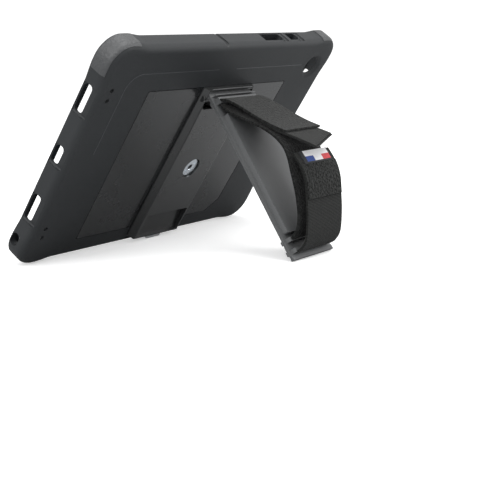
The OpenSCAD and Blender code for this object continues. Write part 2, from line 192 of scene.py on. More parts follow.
def pick_points(piece, wanted):
    bpy.ops.mesh.select_mode(type="VERT")
    bpy.ops.mesh.select_all(action="DESELECT")
    shell = bmesh.from_edit_mesh(piece.data)
    here = piece.matrix_world
    for point in shell.verts:
        if wanted(here @ point.co):
            point.select_set(True)
    bmesh.update_edit_mesh(piece.data)


def off_bench(piece):
    # leaves edit mode with the piece's place in its mesh
    clear_bench()
    bpy.context.view_layer.objects.active = piece
    piece.select_set(True)
    bpy.ops.object.transform_apply(location=True, rotation=True, scale=True)


def join(pieces):
    for piece in pieces:
        off_bench(piece)
    bpy.ops.object.select_all(action="DESELECT")
    for piece in pieces:
        piece.select_set(True)
    bpy.context.view_layer.objects.active = pieces[0]
    if len(pieces) > 1:
        bpy.ops.object.join()
    return pieces[0]


def cut(piece, cutters, operation="DIFFERENCE"):
    tool = join(cutters)
    off_bench(piece)
    knife = piece.modifiers.new("cut", "BOOLEAN")
    knife.operation = operation
    knife.solver = "EXACT"
    knife.object = tool
    bpy.ops.object.modifier_apply(modifier="cut")
    bpy.data.objects.remove(tool)


def soften(piece, width, segments=2, angle=35):
    off_bench(piece)
    edge = piece.modifiers.new("edges", "BEVEL")
    edge.width = width
    edge.segments = segments
    edge.limit_method = "ANGLE"
    edge.angle_limit = math.radians(angle)
    edge.use_clamp_overlap = True
    bpy.ops.object.modifier_apply(modifier="edges")


def settle(piece, place, angle=32):
    # millimetres on the bench become metres on the standing case
    off_bench(piece)
    piece.matrix_world = place
    bpy.ops.object.transform_apply(location=True, rotation=True, scale=True)
    bpy.ops.object.shade_smooth_by_angle(angle=math.radians(angle))
    # wide flat faces keep flat light right up to their softened edges
    even = piece.modifiers.new("even", "WEIGHTED_NORMAL")
    even.keep_sharp = True
    even.weight = 90
    bpy.ops.object.modifier_apply(modifier="even")


bpy.ops.object.select_all(action="DESELECT")
bpy.ops.mesh.primitive_plane_add(size=1, location=(0, 0, -11))
bumper = bpy.context.object
bumper.name = bumper.data.name = "bumper"
bpy.ops.object.mode_set(mode="EDIT")
bpy.ops.transform.resize(value=(254.8, 173.8, 1))
bpy.ops.mesh.bevel(offset=15.5, segments=10, affect="VERTICES")
bpy.ops.mesh.select_all(action="SELECT")
bpy.ops.mesh.extrude_region_move(TRANSFORM_OT_translate={"value": (0, 0, 6)})
turns = [math.radians(15 * k) for k in range(7)]
for a, b in zip(turns, turns[1:]):
    bpy.ops.mesh.inset(thickness=5 * (math.cos(a) - math.cos(b)), depth=5 * (math.sin(b) - math.sin(a)))
pick_faces(bumper, lambda c, n: c.z < -10.9 and abs(n.z) > 0.9)
bpy.ops.mesh.extrude_region_move(TRANSFORM_OT_translate={"value": (0, 0, -2.2)})
turns = [math.radians(22.5 * k) for k in range(5)]
for a, b in zip(turns, turns[1:]):
    bpy.ops.mesh.inset(thickness=1.8 * (math.cos(a) - math.cos(b)), depth=1.8 * (math.sin(b) - math.sin(a)))
bpy.ops.mesh.inset(thickness=3.8)
bpy.ops.transform.resize(value=(1, 0.976, 1))
# the lip's underside, the wall of the tablet's space and its floor
for rise, grow_x, grow_y in ((1.2, 1, 1), (0.02, 1.0181, 1.0277), (9.6, 1, 1), (1.3, 0.994, 0.991)):
    bpy.ops.mesh.extrude_region_move(TRANSFORM_OT_translate={"value": (0, 0, rise)})
    bpy.ops.transform.resize(value=(grow_x, grow_y, 1))


def depth_in(p):
    # how far a point lies inside the bumper's outline
    x, y = abs(p.x) - 111.9, abs(p.y) - 71.4
    return 15.5 - (math.hypot(x, y) if x > 0 and y > 0 else max(x, y))


# corner guards swell out of the rails through a short curve
for place in (96, 99, 102, 105, 108):
    for side in (-1, 1):
        bpy.ops.mesh.select_all(action="SELECT")
        bpy.ops.mesh.bisect(plane_co=(side * place, 0, 0), plane_no=(1, 0, 0))
        bpy.ops.mesh.select_all(action="SELECT")
        bpy.ops.mesh.bisect(plane_co=(0, side * (place - 40.5), 0), plane_no=(0, 1, 0))
for inner, share in ((95.5, 0.1), (98, 0.2), (101, 0.3), (104, 0.25), (107.2, 0.15)):
    pick_points(bumper, lambda p: (abs(p.x) > inner and abs(p.y) > inner - 40.5
                                   and (depth_in(p) < 1 or (p.z > -2.6 and depth_in(p) < 4.6)
                                        or (p.z < -13 and depth_in(p) < 1.9))))
    bpy.ops.transform.resize(value=(1 + 1.8 * share / 127.4, 1 + 1.8 * share / 86.9, 1),
                             center_override=(0, 0, -11))
bpy.ops.mesh.select_all(action="SELECT")
bpy.ops.mesh.normals_make_consistent(inside=False)

# windows for the ports and speakers, all but the jack's with a shallow scoop behind it,
# and the holes for the camera and the cord loops
port_z = -10.35


def window(name, x, y, length, height, along_y=True):
    low, high = port_z - height / 2, port_z + height / 2
    if along_y:
        piece = begin(name, x - 6, x + 6, y - length / 2, y + length / 2, low, high)
        pick_edges(piece, lambda a, b: abs(a.x - b.x) > 5)
    else:
        piece = begin(name, x - length / 2, x + length / 2, y - 6, y + 6, low, high)
        pick_edges(piece, lambda a, b: abs(a.y - b.y) > 5)
    bpy.ops.mesh.bevel(offset=height / 2 - 0.05, segments=7, affect="EDGES")
    return piece


window_h, speaker_y, rail_x, rail_y = 6.7, 43.6, 127, 87
volume_x, power_x = 46.8, 73.6
windows = [window("usb_window", -rail_x, 0, 13.8, window_h)]
windows += [window("speaker_window", side * rail_x, y, 21, window_h)
            for side in (-1, 1) for y in (-speaker_y, speaker_y)]
windows += [window("jack_window", -rail_x, -70.5, 9.5, window_h)]
windows += [window("volume_window", volume_x, rail_y, 27.4, window_h, False),
            window("power_window", power_x, rail_y, 15.6, window_h, False)]
windows += [begin_rod("mic_hole", (-17, 84, port_z), 1.1, 14, "Y", 16)]
windows += [begin_rod("cord_hole", (-116.5, y, -2), 1.7, 12, "Z", 20) for y in (55.5, 48, -56, -63.5)]
windows += [begin_rod("camera_hole", (107, 65, -2), 7.5, 12, "Z", 48)]
cut(bumper, windows)

scoops = []
for side, y, length in ((-1, speaker_y, 22.4), (-1, 0, 15.4), (-1, -speaker_y, 22.4),
                        (1, speaker_y, 22.4), (1, -speaker_y, 22.4)):
    scoop = begin("scoop", 0, 8, y - length / 2, y + length / 2, port_z - 4.1, -2.2)
    pick_edges(scoop, lambda a, b: a.x < 1 and b.x < 1 and abs(a.z - b.z) < 1 and a.z < -8)
    bpy.ops.transform.translate(value=(0.9, 0, 0))
    pick_faces(scoop, lambda c, n: n.x < -0.5)
    bpy.ops.mesh.bevel(offset=1.4, segments=4, affect="EDGES")
    off_bench(scoop)
    scoop.scale.x = side
    scoop.location.x = side * 125.3
    off_bench(scoop)
    bpy.ops.object.mode_set(mode="EDIT")
    bpy.ops.mesh.select_all(action="SELECT")
    bpy.ops.mesh.normals_make_consistent(inside=False)
    scoops.append(scoop)
for x, length in ((volume_x, 29), (power_x, 17.2)):
    scoop = begin("scoop", x - length / 2, x + length / 2, 85, 92, port_z - 4.1, -3)
    pick_edges(scoop, lambda a, b: a.y < 86 and b.y < 86 and abs(a.z - b.z) < 1 and a.z < -8)
    bpy.ops.transform.translate(value=(0, 0.7, 0))
    pick_faces(scoop, lambda c, n: n.y < -0.5)
    bpy.ops.mesh.bevel(offset=1.4, segments=4, affect="EDGES")
    scoops.append(scoop)
# the microphone's groove runs from the lip over the shoulder
groove = begin_rod("groove", (-17, 86.9, -8), 1.8, 15, "Z", 20)
pick_points(groove, lambda p: p.z > -2)
bpy.ops.transform.translate(value=(1.6, -0.2, 0))
scoops.append(groove)
funnel = begin_rod("camera_funnel", (107, 65, -0.9), 7.6, 1.9, "Z", 48)
pick_points(funnel, lambda p: p.z > -0.1)
bpy.ops.transform.resize(value=(1.34, 1.34, 1), center_override=(107, 65, 0))
scoops.append(funnel)
recess = begin("recess", -79.5, 79.5, -72.5, 53, -1, 3)
pick_edges(recess, lambda a, b: a.x > 70 and b.x > 70 and a.y < -70 and b.y < -70 and abs(a.z - b.z) > 1)
bpy.ops.mesh.bevel(offset=11, segments=1, affect="EDGES")
pick_edges(recess, lambda a, b: abs(a.z - b.z) > 1 and abs(a.x - b.x) < 0.1)
bpy.ops.mesh.bevel(offset=1.3, segments=4, affect="EDGES")
scoops.append(recess)
# finger grips down the outer side of the right rail
for k in range(7):
    scoops.append(begin_rod("grip", (129.4, -15 + 5 * k, -9), 2.6, 9, "Z", 24))
cut(bumper, scoops)
# coarse pads moulded proud of the two upper guards, lifted from the guards' own skin
patches = []
for side, name in ((-1, "guard_patch_left"), (1, "guard_patch_right")):
    off_bench(bumper)
    bpy.ops.object.mode_set(mode="EDIT")
    pick_faces(bumper, lambda c, n: (side * c.x > 105 and c.y > 64.5 and -13.1 < c.z and n.z < 0.72
                                     and (side * n.x > 0.2 or n.y > 0.2)
                                     and max(abs(c.x) - 40.5, c.y) > 80))
    bpy.ops.mesh.duplicate()
    bpy.ops.mesh.separate(type="SELECTED")
    off_bench(bumper)
    pad = [o for o in bpy.data.objects if o.name.startswith("bumper.")][0]
    pad.name = pad.data.name = name
    off_bench(pad)
    solid = pad.modifiers.new("thickness", "SOLIDIFY")
    solid.thickness = 0.9
    solid.offset = 0.1
    bpy.ops.object.modifier_apply(modifier="thickness")
    soften(pad, 0.2, 2, 50)
    patches.append(pad)
soften(bumper, 0.35, 2, 40)
settle(bumper, on_case, 38)
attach(bumper, "case")
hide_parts("back_shell", "rail_top", "rail_bottom", "rail_left", "rail_right",
            "corner_guard_top_left", "corner_guard_top_right",
            "corner_guard_bottom_left", "corner_guard_bottom_right")


def grain_group():
    # moulded grain: fine pits and a soft cloudiness, as a height and a shade
    group = bpy.data.node_groups.new("moulded_grain", "ShaderNodeTree")
    for socket in ("Size", "Shade"):
        group.interface.new_socket(socket, in_out="INPUT", socket_type="NodeSocketFloat")
    group.interface.new_socket("Color", in_out="INPUT", socket_type="NodeSocketColor")
    group.interface.new_socket("Color", in_out="OUTPUT", socket_type="NodeSocketColor")
    group.interface.new_socket("Height", in_out="OUTPUT", socket_type="NodeSocketFloat")
    group.interface.new_socket("Roughness", in_out="OUTPUT", socket_type="NodeSocketFloat")
    nodes, links = group.nodes, group.links
    into, out = nodes.new("NodeGroupInput"), nodes.new("NodeGroupOutput")
    where = nodes.new("ShaderNodeTexCoord")
    pits = nodes.new("ShaderNodeTexNoise")
    pits.inputs["Detail"].default_value = 3
    cloud = nodes.new("ShaderNodeTexNoise")
    cloud.inputs["Scale"].default_value = 22
    cloud.inputs["Detail"].default_value = 4
    links.new(where.outputs["Object"], pits.inputs["Vector"])
    links.new(where.outputs["Object"], cloud.inputs["Vector"])
    links.new(into.outputs["Size"], pits.inputs["Scale"])
    spread = nodes.new("ShaderNodeMapRange")
    spread.inputs["From Min"].default_value = 0.3
    spread.inputs["From Max"].default_value = 0.7
    links.new(cloud.outputs["Fac"], spread.inputs["Value"])
    darker = nodes.new("ShaderNodeMix")
    darker.data_type = "RGBA"
    darker.blend_type = "MULTIPLY"
    darker.inputs["B"].default_value = (0.72, 0.73, 0.75, 1)
    amount = nodes.new("ShaderNodeMath")
    amount.operation = "MULTIPLY"
    links.new(spread.outputs["Result"], amount.inputs[0])
    links.new(into.outputs["Shade"], amount.inputs[1])
    links.new(amount.outputs["Value"], darker.inputs["Factor"])
    links.new(into.outputs["Color"], darker.inputs["A"])
    links.new(darker.outputs["Result"], out.inputs["Color"])
    links.new(pits.outputs["Fac"], out.inputs["Height"])
    rough = nodes.new("ShaderNodeMapRange")
    rough.inputs["To Min"].default_value = 0.0
    rough.inputs["To Max"].default_value = 1.0
    links.new(cloud.outputs["Fac"], rough.inputs["Value"])
    links.new(rough.outputs["Result"], out.inputs["Roughness"])
    return group


moulded_grain = grain_group()


def moulded(name, color, rough, size, depth, shade=0.5, coat=0.0, metal=0.0, spread=0.12):
    # a moulded surface: its colour, how matt it is, and the size and depth in metres of its grain
    material = bpy.data.materials.new(name)
    material.use_nodes = True
    nodes, links = material.node_tree.nodes, material.node_tree.links
    shader = nodes["Principled BSDF"]
    grain = nodes.new("ShaderNodeGroup")
    grain.node_tree = moulded_grain
    grain.inputs["Size"].default_value = size
    grain.inputs["Shade"].default_value = shade
    grain.inputs["Color"].default_value = (*color, 1)
    bump = nodes.new("ShaderNodeBump")
    bump.inputs["Strength"].default_value = 0.5
    bump.inputs["Distance"].default_value = depth
    gloss = nodes.new("ShaderNodeMapRange")
    gloss.inputs["To Min"].default_value = rough - spread / 2
    gloss.inputs["To Max"].default_value = rough + spread / 2
    links.new(grain.outputs["Color"], shader.inputs["Base Color"])
    links.new(grain.outputs["Height"], bump.inputs["Height"])
    links.new(bump.outputs["Normal"], shader.inputs["Normal"])
    links.new(grain.outputs["Roughness"], gloss.inputs["Value"])
    links.new(gloss.outputs["Result"], shader.inputs["Roughness"])
    shader.inputs["Coat Weight"].default_value = coat
    shader.inputs["Coat Roughness"].default_value = 0.08
    shader.inputs["Metallic"].default_value = metal
    return material


def wear(piece, material):
    piece.data.materials.clear()
    piece.data.materials.append(material)


patch_rubber = moulded("patch_rubber", (0.06, 0.062, 0.064), 0.45, 480, 0.0012, 0.9)
for pad in patches:
    settle(pad, on_case, 38)
    wear(pad, patch_rubber)
    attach(pad, "case")
wear(bumper, moulded("bumper_rubber", (0.0150, 0.0172, 0.0192), 0.58, 900, 0.00012, 0.5))

# ---- Style line ----
# A fine ridge on the back, moulded with the bumper, that turns round the top
# left and runs to the camera hole.
bpy.ops.object.select_all(action="DESELECT")
bpy.ops.mesh.primitive_plane_add(size=1, location=(-104.6, 30, 0.05))
ridge = bpy.context.object
ridge.name = ridge.data.name = "style_line"
bpy.ops.object.mode_set(mode="EDIT")
bpy.ops.transform.resize(value=(0.55, 50, 1))
pick_edges(ridge, lambda a, b: a.y > 54 and b.y > 54)
bpy.ops.mesh.spin(steps=8, angle=math.radians(90), center=(-92.6, 55, 0.05), axis=(0, 0, 1))
pick_edges(ridge, lambda a, b: abs(a.x - b.x) < 0.01 and a.x > -92.8 and b.x > -92.8)
bpy.ops.mesh.extrude_region_move(TRANSFORM_OT_translate={"value": (79, 0, 0)})
bpy.ops.mesh.extrude_region_move(TRANSFORM_OT_translate={"value": (0.01, 0, -0.4)})
bpy.ops.mesh.extrude_region_move(TRANSFORM_OT_translate={"value": (20, 0, 0)})
bpy.ops.mesh.extrude_region_move(TRANSFORM_OT_translate={"value": (0.01, 0, 0.4)})
bpy.ops.mesh.extrude_region_move(TRANSFORM_OT_translate={"value": (84, 0, 0)})
bpy.ops.mesh.select_all(action="SELECT")
bpy.ops.mesh.extrude_region_move(TRANSFORM_OT_translate={"value": (0, 0, -0.3)})
bpy.ops.mesh.select_all(action="SELECT")
bpy.ops.mesh.normals_make_consistent(inside=False)
soften(ridge, 0.12, 2, 50)
settle(ridge, on_case)
wear(ridge, moulded("ridge_rubber", (0.05, 0.054, 0.058), 0.42, 900, 0.00005, 0.3))
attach(ridge, "case")

# ---- Back plate ----
# A hard plate in satin black polycarbonate, let into the bumper's recess with a
# narrow gap all round, under the stand's base.
plate = begin("back_plate_skin", -79, 79, -72, 52.5, -1.1, -0.1)
pick_edges(plate, lambda a, b: a.x > 70 and b.x > 70 and a.y < -70 and b.y < -70 and abs(a.z - b.z) > 0.5)
bpy.ops.mesh.bevel(offset=10.8, segments=1, affect="EDGES")
pick_edges(plate, lambda a, b: abs(a.z - b.z) > 0.5 and abs(a.x - b.x) < 0.1)
bpy.ops.mesh.bevel(offset=1.1, segments=4, affect="EDGES")
pick_faces(plate, lambda c, n: n.z > 0.9)
bpy.ops.mesh.inset(thickness=0.35, depth=0.12)
settle(plate, on_case)
wear(plate, moulded("gloss_black", (0.007, 0.008, 0.009), 0.27, 500, 0.000003, 0.35, coat=0.5, spread=0.08))
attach(plate, "case")
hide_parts("back_plate")

# ---- Stand base ----
# One hard moulding with sloping sides, screwed over the plate. It has a pocket
# for the leg's barrel, a seat for the magnet and a ramped pocket for the strap.
base = begin("stand_base_skin", stand_u - 28.65, stand_u + 28.65, -80.5, 52.8, -0.08, 5.2)
bpy.ops.mesh.select_all(action="SELECT")
bpy.ops.mesh.bisect(plane_co=(0, 0, 0.8), plane_no=(0, 0, 1))
pick_points(base, lambda p: p.z > 5)
bpy.ops.transform.resize(value=(51.5 / 57.3, 1, 1), center_override=(stand_u, 0, 5.2))
for level in (15.5, 36):
    bpy.ops.mesh.select_all(action="SELECT")
    bpy.ops.mesh.bisect(plane_co=(0, level, 0), plane_no=(0, 1, 0))
pick_points(base, lambda p: p.z > 5 and p.y > 35.9)
bpy.ops.transform.translate(value=(0, 0, -0.5))
pick_edges(base, lambda a, b: a.z > 4.5 and b.z > 4.5 and abs(a.y - b.y) > 5)
bpy.ops.mesh.bevel(offset=0.9, segments=3, affect="EDGES")
pick_edges(base, lambda a, b: a.y < -80.4 and b.y < -80.4 and abs(a.z - b.z) > 2)
bpy.ops.mesh.bevel(offset=1.8, segments=4, affect="EDGES")
pocket = begin("barrel_pocket", stand_u - 25.55, stand_u + 25.55, 37, 52.1, 0.1, 9)
pick_edges(pocket, lambda a, b: a.y < 38 and b.y < 38 and abs(a.z - b.z) > 2)
bpy.ops.mesh.bevel(offset=3.2, segments=5, affect="EDGES")
seat = begin_rod("magnet_seat", (stand_u, -17, 5.2), 8.2, 5.2)
ramp = begin("strap_pocket", stand_u - 22.6, stand_u + 23.9, -79.2, -58.6, 0.9, 9)
pick_edges(ramp, lambda a, b: a.y < -79 and b.y < -79 and a.z < 1 and b.z < 1)
bpy.ops.transform.translate(value=(0, 0, 2.0))
pick_edges(ramp, lambda a, b: abs(a.z - b.z) > 2)
bpy.ops.mesh.bevel(offset=1.0, segments=3, affect="EDGES")
notch = begin("latch_notch", stand_u - 9.4, stand_u + 9.4, -82, -74.2, 0.3, 2.1)
cut(base, [pocket, seat, ramp, notch])
soften(base, 0.3, 2, 30)
knuckles = [begin_rod("knuckle", (stand_u + side * 26.8, 45, 2.4), 2.4, 2.3, "X", 32) for side in (-1, 1)]
for knuckle in knuckles:
    soften(knuckle, 0.4, 3, 50)
base = join([base] + knuckles)
settle(base, on_case)
wear(base, moulded("base_plastic", (0.021, 0.022, 0.0225), 0.28, 700, 0.000003, 0.35, coat=0.6, spread=0.08))
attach(base, "case")
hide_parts("stand_base", "latch_housing")

# ---- Closure magnet and small metal parts ----
# A nickel-plated ring magnet in a counterbore, held by one blackened screw, and
# the hinge's steel pin and the keeper disc that the magnet pulls on.
magnet = begin_rod("magnet_disc", (stand_u, -17, 3.2), 7.5, 1.2, sides=64)
pick_faces(magnet, lambda c, n: n.z > 0.9)
bpy.ops.mesh.inset(thickness=0.35, depth=0.15)
bpy.ops.mesh.inset(thickness=4.6)
bpy.ops.mesh.inset(thickness=0.25, depth=-0.3)
bpy.ops.mesh.inset(thickness=0.4, depth=-0.3)
dimples = [begin_rod("dimple", (stand_u + 4.6 * math.cos(a), -17 + 4.6 * math.sin(a), 4), 0.8, 1.0, sides=16)
           for a in (math.radians(45), math.radians(225))]
cut(magnet, dimples)
soften(magnet, 0.15, 2, 50)
settle(magnet, on_case)
wear(magnet, moulded("nickel", (0.86, 0.92, 0.98), 0.24, 260, 0.00001, 0.15, metal=0.75, spread=0.1))
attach(magnet, "case")
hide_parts("closure_magnet")
steel = moulded("steel", (0.50, 0.51, 0.53), 0.34, 1400, 0.00001, 0.4, metal=1.0)
for name in ("hinge_pin", "keeper_plate", "base_screws"):
    wear(frame["nodes"][name], steel)
screw_black = moulded("screw_black", (0.02, 0.02, 0.022), 0.3, 1200, 0.00001, 0.3, metal=0.6)
wear(frame["nodes"]["magnet_screw"], screw_black)

# ---- Latch tab ----
# A light grey thumb lip on a sprung tongue, in the notch at the base's end.
latch = begin("latch_lip", stand_u - 8, stand_u + 8, -84, -82.3, 0.5, 4.4)
pick_edges(latch, lambda a, b: abs(a.y - b.y) > 1)
bpy.ops.mesh.bevel(offset=1.3, segments=5, affect="EDGES")
pick_faces(latch, lambda c, n: n.y < -0.9)
bpy.ops.mesh.inset(thickness=0.5, depth=0.3)
tongue = begin("tongue", stand_u - 8, stand_u + 8, -83, -75.9, 0.5, 1.9)
pick_edges(tongue, lambda a, b: abs(a.z - b.z) > 1)
bpy.ops.mesh.bevel(offset=0.8, segments=3, affect="EDGES")
latch = join([latch, tongue])
soften(latch, 0.2, 2, 40)
settle(latch, on_case)
wear(latch, moulded("latch_plastic", (0.50, 0.51, 0.52), 0.35, 800, 0.00002, 0.3))
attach(latch, "latch")
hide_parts("latch_tab")

# ---- Kickstand leg ----
# A flat plate of two skins, so that its edge shows a fine groove, with a barrel
# on the pin, slots for the strap, and a glossy panel let into its outer face.
leg = begin("leg_plate", stand_u - 25.25, stand_u + 25.25, -125.6, 3.9, 3.1, 5.1)
pick_edges(leg, lambda a, b: abs(a.z - b.z) > 1 and a.y > 3 and b.y > 3)
bpy.ops.mesh.bevel(offset=1.2, segments=4, affect="EDGES")
pick_faces(leg, lambda c, n: abs(n.x) > 0.9)
bpy.ops.mesh.inset(thickness=0.62)
bpy.ops.mesh.inset(thickness=0.12, depth=-0.5)
slots = [begin("slot", stand_u - 22.5, stand_u + 22.5, -b, -a, 0, 9)
         for a, b in ((4.4, 8.8), (113.2, 116.2), (121.2, 124.4))]
bed = begin("panel_bed", stand_u - 21.65, stand_u + 21.65, -110, -17, 3.8, 9)
pick_edges(bed, lambda a, b: abs(a.z - b.z) > 2)
bpy.ops.mesh.bevel(offset=1.5, segments=4, affect="EDGES")
lines = [begin("fine_line", stand_u - 23.5, stand_u + 23.5, y - 0.25, y + 0.25, 4.9, 9) for y in (1.6, -2.6)]
keeper = begin_rod("keeper_seat", (stand_u, -62, 2.9), 7.05, 1.8)
cut(leg, slots + [bed, keeper] + lines)
soften(leg, 0.28, 2, 40)
barrel = begin_rod("barrel", (stand_u, 0, 0), 2.2, 50.5, "X", 32)
bore = begin_rod("bore", (stand_u, 0, 0), 1.06, 60, "X", 24)
cut(barrel, [bore])
soften(barrel, 0.2, 2, 50)
web = begin("web", stand_u - 25, stand_u + 25, -1.6, 1.6, 1.6, 3.2)
leg = join([leg, barrel, web])
settle(leg, on_leg)
wear(leg, moulded("leg_plastic", (0.115, 0.118, 0.120), 0.34, 900, 0.00003, 0.4))
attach(leg, "kickstand")
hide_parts("leg_frame")

panel = begin("leg_panel_skin", stand_u - 21.5, stand_u + 21.5, -109.85, -17.15, 3.82, 4.8)
pick_edges(panel, lambda a, b: abs(a.z - b.z) > 0.5)
bpy.ops.mesh.bevel(offset=1.4, segments=4, affect="EDGES")
pick_faces(panel, lambda c, n: n.z > 0.9)
bpy.ops.mesh.inset(thickness=0.3, depth=0.15)
settle(panel, on_leg)
wear(panel, moulded("panel_gloss", (0.009, 0.010, 0.0105), 0.27, 420, 0.00001, 0.3, coat=0.3, spread=0.06))
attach(panel, "kickstand")
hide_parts("leg_panel")

foot = begin("foot_rail", stand_u - 25.25, stand_u + 25.25, -129, -125.4, 3.1, 5.9)
pick_edges(foot, lambda a, b: abs(a.x - b.x) > 5 and a.y < -128 and b.y < -128)
bpy.ops.mesh.bevel(offset=0.7, segments=4, affect="EDGES")
pick_edges(foot, lambda a, b: abs(a.y - b.y) > 2 and abs(a.x - b.x) < 1)
bpy.ops.mesh.bevel(offset=0.9, segments=4, affect="EDGES")
settle(foot, on_leg)
wear(foot, moulded("foot_grey", (0.085, 0.088, 0.091), 0.36, 900, 0.00003, 0.3))
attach(foot, "kickstand")
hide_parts("foot_bar")

# ---- Hand strap ----
# Black elastic webbing threaded through the leg's slots, with loop pile on the
# upper run, a plain slanted end, a sewn patch and a small woven tag.
def smooth_run(points, steps=6):
    # the webbing's middle line: a smooth curve through the points it is held at
    run = []
    for i in range(len(points) - 1):
        a, b, c, d = (Vector(points[max(0, min(len(points) - 1, i + k))]) for k in (-1, 0, 1, 2))
        for k in range(steps):
            t = k / steps
            run.append(0.5 * (2 * b + (c - a) * t + (2 * a - 5 * b + 4 * c - d) * t * t
                              + (3 * b - a - 3 * c + d) * t ** 3))
    run.append(Vector(points[-1]))
    return run


def webbing(name, run, width, thick, middle=stand_u, lanes=12, slant=0.0, edge=0.35):
    # a strip drawn out along its run; its map gives millimetres across and along
    bpy.ops.object.select_all(action="DESELECT")
    bpy.ops.mesh.primitive_grid_add(x_subdivisions=lanes, y_subdivisions=1, size=1, location=(0, 0, 0))
    strip = bpy.context.object
    strip.name = strip.data.name = name
    bpy.ops.object.mode_set(mode="EDIT")
    pick_points(strip, lambda p: p.y > 0)
    bpy.ops.mesh.delete(type="VERT")
    bpy.ops.mesh.select_mode(type="VERT")
    bpy.ops.mesh.select_all(action="SELECT")
    bpy.ops.transform.resize(value=(width, 0, 0))
    bpy.ops.transform.translate(value=(middle, -run[0].x, run[0].y))
    for a, b in zip(run, run[1:]):
        bpy.ops.mesh.extrude_region_move(TRANSFORM_OT_translate={"value": (0, a.x - b.x, b.y - a.y)})
    off_bench(strip)
    lengths = [0.0]
    for a, b in zip(run, run[1:]):
        lengths.append(lengths[-1] + (b - a).length)
    chart = strip.data.uv_layers.new(name="weave")
    places = {}
    for point in strip.data.vertices:
        near = min(range(len(run)), key=lambda k: abs(run[k].x + point.co.y) + abs(run[k].y - point.co.z))
        places[point.index] = (point.co.x - middle, lengths[near])
    for loop in strip.data.loops:
        chart.data[loop.index].uv = places[loop.vertex_index]
    if slant:
        for point in strip.data.vertices:
            across, along = places[point.index]
            share = max(0.0, min(1.0, along / lengths[-1]))
            at = along - slant * share * (0.5 + across / width)
            final = len(run) - 2
            k = next((i for i in range(final + 1) if lengths[i + 1] >= at), final)
            t = (at - lengths[k]) / (lengths[k + 1] - lengths[k])
            spot = run[k].lerp(run[k + 1], t)
            point.co.y, point.co.z = -spot.x, spot.y
    solid = strip.modifiers.new("thickness", "SOLIDIFY")
    solid.thickness = thick
    solid.offset = 0
    solid.use_even_offset = not slant
    bpy.ops.object.modifier_apply(modifier="thickness")
    soften(strip, min(edge, thick * 0.4), 3, 60)
    bpy.ops.object.mode_set(mode="EDIT")
    bpy.ops.mesh.select_all(action="SELECT")
    bpy.ops.mesh.normals_make_consistent(inside=False)
    return strip


def cloth(name, color, pile, rib, rib_size, rib_depth, sheen=0.35):
    # woven elastic: ribs across the run under a pile of loops, both as bumps; the colour follows the same
    # height, as painted shade in the hollows and lighter raised loops
    material = bpy.data.materials.new(name)
    material.use_nodes = True
    nodes, links = material.node_tree.nodes, material.node_tree.links
    shader = nodes["Principled BSDF"]
    chart = nodes.new("ShaderNodeUVMap")
    chart.uv_map = "weave"
    rows = nodes.new("ShaderNodeTexWave")
    rows.wave_type = "BANDS"
    rows.bands_direction = "Y"
    rows.inputs["Scale"].default_value = rib_size
    rows.inputs["Distortion"].default_value = 0.6
    rows.inputs["Detail"].default_value = 2
    rows.inputs["Detail Scale"].default_value = 2
    ends = nodes.new("ShaderNodeTexWave")
    ends.wave_type = "BANDS"
    ends.bands_direction = "X"
    ends.inputs["Scale"].default_value = rib_size * 1.6
    ends.inputs["Distortion"].default_value = 1.2
    loops = nodes.new("ShaderNodeTexNoise")
    loops.inputs["Scale"].default_value = 0.55
    loops.inputs["Detail"].default_value = 4
    loops.inputs["Roughness"].default_value = 0.5
    links.new(chart.outputs["UV"], rows.inputs["Vector"])
    links.new(chart.outputs["UV"], ends.inputs["Vector"])
    links.new(chart.outputs["UV"], loops.inputs["Vector"])
    ribs = nodes.new("ShaderNodeMath")
    ribs.operation = "MULTIPLY_ADD"
    ribs.inputs[1].default_value = 0.3
    links.new(ends.outputs["Fac"], ribs.inputs[0])
    links.new(rows.outputs["Fac"], ribs.inputs[2])
    weave = nodes.new("ShaderNodeMath")
    weave.operation = "MULTIPLY"
    weave.inputs[1].default_value = rib
    links.new(ribs.outputs["Value"], weave.inputs[0])
    height = nodes.new("ShaderNodeMath")
    height.operation = "MULTIPLY_ADD"
    height.inputs[1].default_value = pile
    links.new(loops.outputs["Fac"], height.inputs[0])
    links.new(weave.outputs["Value"], height.inputs[2])
    bump = nodes.new("ShaderNodeBump")
    bump.inputs["Strength"].default_value = 1.0
    bump.inputs["Distance"].default_value = rib_depth
    links.new(height.outputs["Value"], bump.inputs["Height"])
    links.new(bump.outputs["Normal"], shader.inputs["Normal"])
    # painted shade: the colour runs from dark in the weave's hollows to light on its raised loops, by the
    # bumps' height
    shade = nodes.new("ShaderNodeMapRange")
    shade.inputs["From Min"].default_value = 0.38 * pile + 0.1 * rib
    shade.inputs["From Max"].default_value = 0.62 * pile + 1.15 * rib
    links.new(height.outputs["Value"], shade.inputs["Value"])
    mix = nodes.new("ShaderNodeMix")
    mix.data_type = "RGBA"
    mix.inputs["A"].default_value = (*(c * 0.25 for c in color), 1)
    mix.inputs["B"].default_value = (*(c * 2.6 for c in color), 1)
    links.new(shade.outputs["Result"], mix.inputs["Factor"])
    links.new(mix.outputs["Result"], shader.inputs["Base Color"])
    shader.inputs["Roughness"].default_value = 0.9
    shader.inputs["Specular IOR Level"].default_value = 0.1
    shader.inputs["Sheen Weight"].default_value = sheen
    shader.inputs["Sheen Roughness"].default_value = 0.5
    return material


